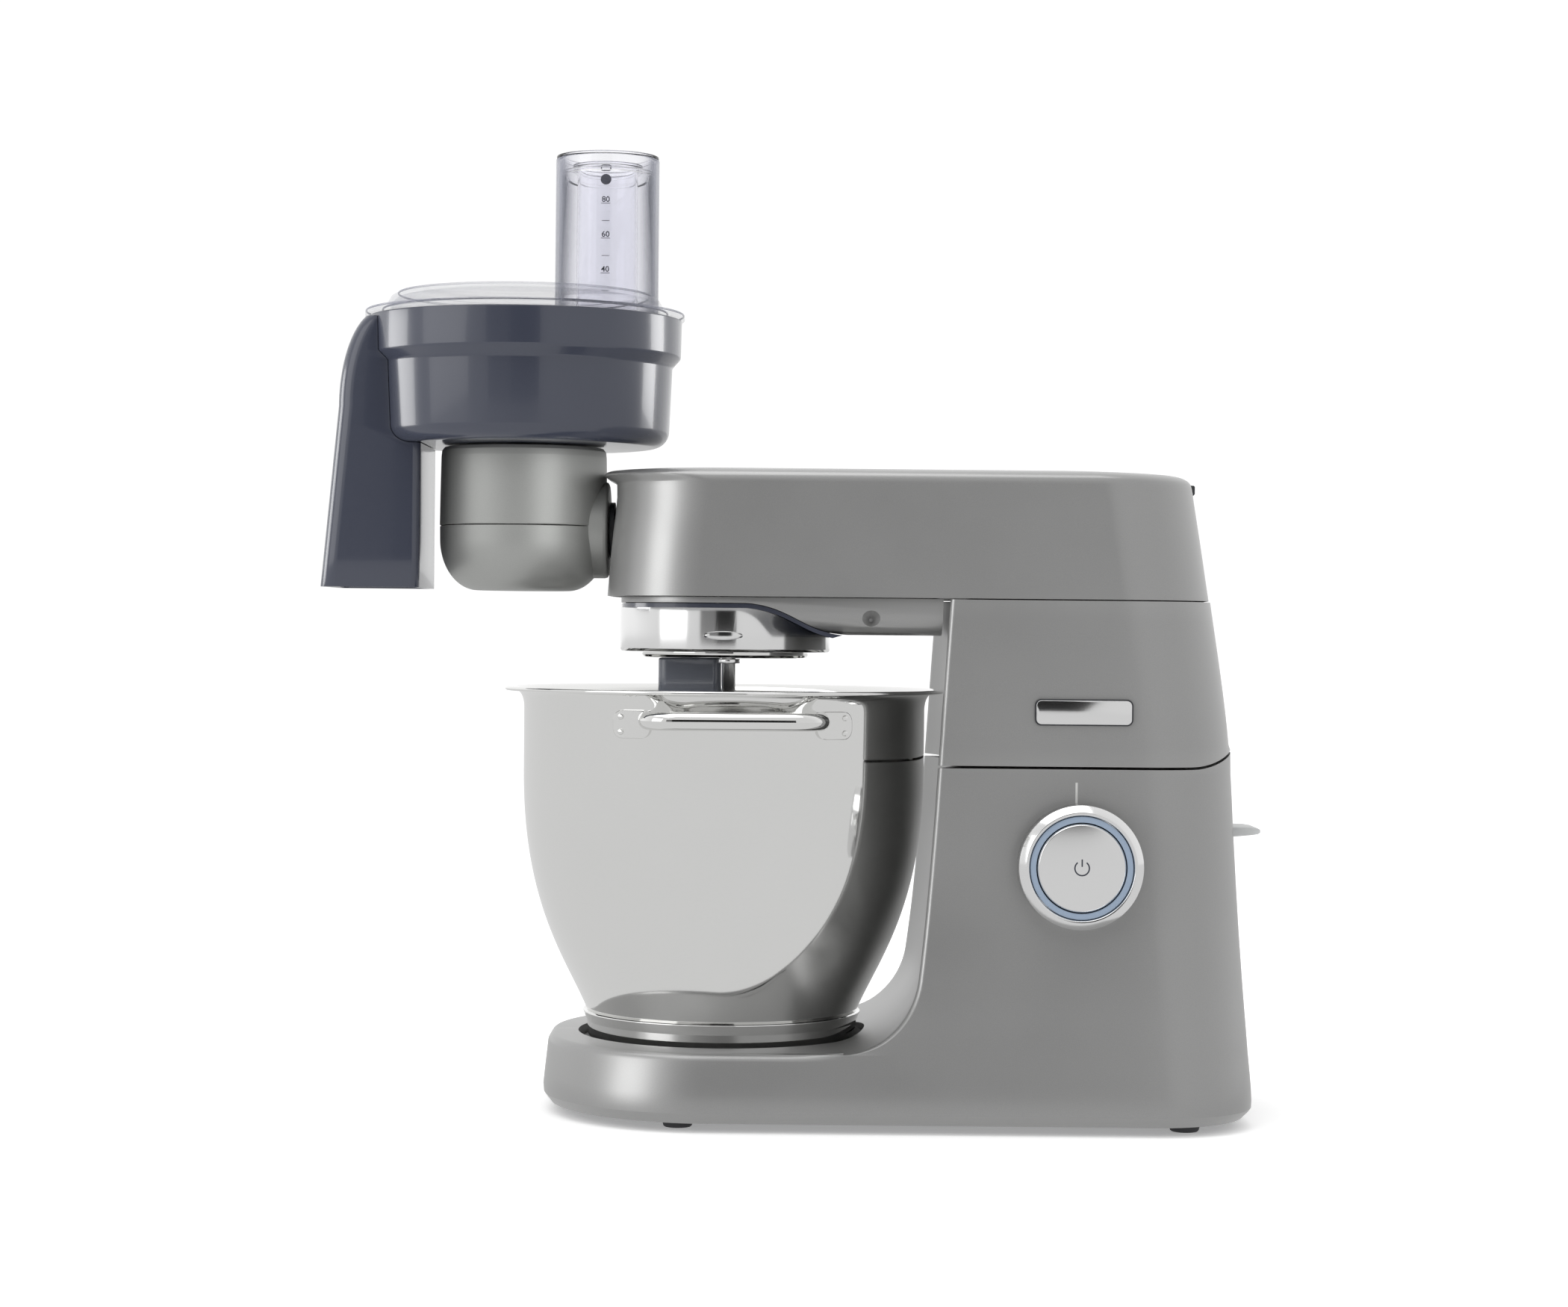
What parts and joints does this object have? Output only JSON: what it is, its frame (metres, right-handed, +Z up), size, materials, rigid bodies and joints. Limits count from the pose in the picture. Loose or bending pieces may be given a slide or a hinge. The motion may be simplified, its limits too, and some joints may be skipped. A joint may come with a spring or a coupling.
{
  "type": "food processor",
  "caption": "Tilt-head stand mixer with a steel bowl, planetary hub and speed knob, carrying a rotary slicer with feed tube, pushers and chute on its front outlet.",
  "frame": {"origin": "on the table under the middle of the object's box", "axes": "+Z up, +X towards the mixer's rear, -X towards the slicer, -Y towards the speed knob's side"},
  "size_m": [0.5461, 0.2778, 0.555],
  "materials": {
    "silver_paint": "silver metallic paint on a die casting",
    "polished_steel": "mirror-polished stainless steel",
    "chrome": "bright chrome",
    "slate_plastic": "glossy dark blue-grey moulding",
    "titanium_paint": "satin titanium-grey paint on a moulding",
    "clear_plastic": "clear moulding, faintly lilac",
    "dark_plastic": "dark moulding",
    "rubber": "matt rubber",
    "gear_steel": "machined steel",
    "winding": "copper winding",
    "light_ring": "pale blue translucent ring",
    "lever_grey": "light grey moulding"
  },
  "bodies": {
    "base": {"base_housing": "silver_paint", "base_plate": "dark_plastic", "foot_front_near": "rubber", "foot_front_far": "rubber", "foot_rear_near": "rubber", "foot_rear_far": "rubber", "bowl_seat": "dark_plastic", "hinge_cheek_near": "gear_steel", "hinge_cheek_far": "gear_steel", "hinge_pin": "gear_steel", "button_core": "dark_plastic", "light_ring": "light_ring", "cord_gland": "rubber"},
    "head": {"mid_housing": "silver_paint", "badge_plate": "chrome", "head_shell": "silver_paint", "head_underside": "silver_paint", "underside_trim": "slate_plastic", "head_chassis": "gear_steel", "latch_striker": "gear_steel", "motor_stator": "winding", "drive_belt": "rubber", "hub_band": "chrome", "ring_gear": "gear_steel", "outlet_socket": "dark_plastic", "gear_housing_upper": "titanium_paint", "gear_housing_lower": "titanium_paint", "drive_boss": "titanium_paint", "lock_ring": "dark_plastic", "drive_tail": "chrome", "slicer_dish": "slate_plastic", "discharge_chute": "slate_plastic"},
    "bowl": {"mixing_bowl": "polished_steel", "bowl_foot": "polished_steel", "bowl_handle_near": "polished_steel", "bowl_handle_far": "polished_steel"},
    "knob": {"speed_knob": "chrome"},
    "button": {"power_button": "chrome"},
    "lever": {"lift_lever": "lever_grey"},
    "latch": {"latch_bolt": "gear_steel"},
    "hub": {"drive_gear": "gear_steel", "planet_carrier": "polished_steel", "carrier_block": "slate_plastic", "outlet_drive_gear": "gear_steel"},
    "tool": {"tool_shaft": "chrome", "planet_gear": "gear_steel"},
    "layshaft": {"layshaft": "gear_steel"},
    "rotor": {"motor_rotor": "gear_steel"},
    "outlet": {"outlet_shaft": "gear_steel"},
    "input": {"slicer_input_shaft": "gear_steel"},
    "disc": {"slicer_spindle": "gear_steel", "disc_hub": "slate_plastic", "slicing_disc": "polished_steel", "slicing_blade": "polished_steel"},
    "lid": {"slicer_lid": "clear_plastic", "feed_tube": "clear_plastic"},
    "pusher": {"pusher": "clear_plastic"},
    "small_pusher": {"small_pusher": "clear_plastic"},
    "cover": {"outlet_cover": "silver_paint", "outlet_cover_tab": "dark_plastic"}
  },
  "joints": [
    {"name": "head_tilt", "type": "hinge", "parent": "base", "child": "head", "pos_m": [0.225, 0, 0.25], "axis": [0, 1, 0], "range_deg": [0, 38]},
    {"name": "bowl_twist", "type": "hinge", "parent": "base", "child": "bowl", "pos_m": [-0.0395, 0, 0.0395], "axis": [0, 0, 1], "range_deg": [-40, 0]},
    {"name": "knob_turn", "type": "hinge", "parent": "base", "child": "knob", "pos_m": [0.161, -0.0945, 0.1484], "axis": [0, 1, 0], "range_deg": [-30, 250]},
    {"name": "button_press", "type": "slide", "parent": "base", "child": "button", "axis": [0, 1, 0], "range_m": [0, 0.0018], "stiffness_N_per_m": 600, "springref_m": -0.001},
    {"name": "lever_lift", "type": "hinge", "parent": "base", "child": "lever", "pos_m": [0.236, 0, 0.163], "axis": [0, -1, 0], "range_deg": [0, 14], "stiffness_Nm_per_rad": 0.2, "springref_deg": -17.19},
    {"name": "latch_draw", "type": "slide", "parent": "base", "child": "latch", "axis": [1, 0, 0], "range_m": [0, 0.009]},
    {"name": "hub_spin", "type": "hinge", "parent": "head", "child": "hub", "pos_m": [-0.0395, 0, 0.265], "axis": [0, 0, 1], "continuous": true},
    {"name": "tool_spin", "type": "hinge", "parent": "hub", "child": "tool", "pos_m": [-0.03671, -0.03188, 0.265], "axis": [0, 0, 1], "continuous": true},
    {"name": "layshaft_spin", "type": "hinge", "parent": "head", "child": "layshaft", "pos_m": [0.0305, 0, 0.3], "axis": [0, 0, 1], "continuous": true},
    {"name": "motor_spin", "type": "hinge", "parent": "head", "child": "rotor", "pos_m": [0.155, 0, 0.25], "axis": [0, 0, 1], "continuous": true},
    {"name": "outlet_spin", "type": "hinge", "parent": "head", "child": "outlet", "pos_m": [-0.0755, 0, 0.336], "axis": [1, 0, 0], "continuous": true},
    {"name": "input_spin", "type": "hinge", "parent": "head", "child": "input", "pos_m": [-0.12, 0, 0.336], "axis": [1, 0, 0], "continuous": true},
    {"name": "disc_spin", "type": "hinge", "parent": "head", "child": "disc", "pos_m": [-0.1585, 0, 0.36], "axis": [0, 0, 1], "continuous": true},
    {"name": "lid_twist", "type": "hinge", "parent": "head", "child": "lid", "pos_m": [-0.1585, 0, 0.4594], "axis": [0, 0, 1], "range_deg": [0, 25]},
    {"name": "pusher_slide", "type": "slide", "parent": "lid", "child": "pusher", "axis": [0, 0, 1], "range_m": [0, 0.085]},
    {"name": "small_pusher_slide", "type": "slide", "parent": "pusher", "child": "small_pusher", "axis": [0, 0, 1], "range_m": [0, 0.08]},
    {"name": "cover_lift", "type": "slide", "parent": "head", "child": "cover", "axis": [0, 0, 1], "range_m": [0, 0.015]}
  ],
  "couplings": [
    {"joint": "tool_spin", "follows": "hub_spin", "ratio": -3},
    {"joint": "layshaft_spin", "follows": "hub_spin", "ratio": -4},
    {"joint": "motor_spin", "follows": "hub_spin", "ratio": -12},
    {"joint": "outlet_spin", "follows": "hub_spin", "ratio": -1},
    {"joint": "input_spin", "follows": "hub_spin", "ratio": -1},
    {"joint": "disc_spin", "follows": "hub_spin", "ratio": 1},
    {"joint": "latch_draw", "follows": "lever_lift", "m_per_rad": 0.036}
  ]
}
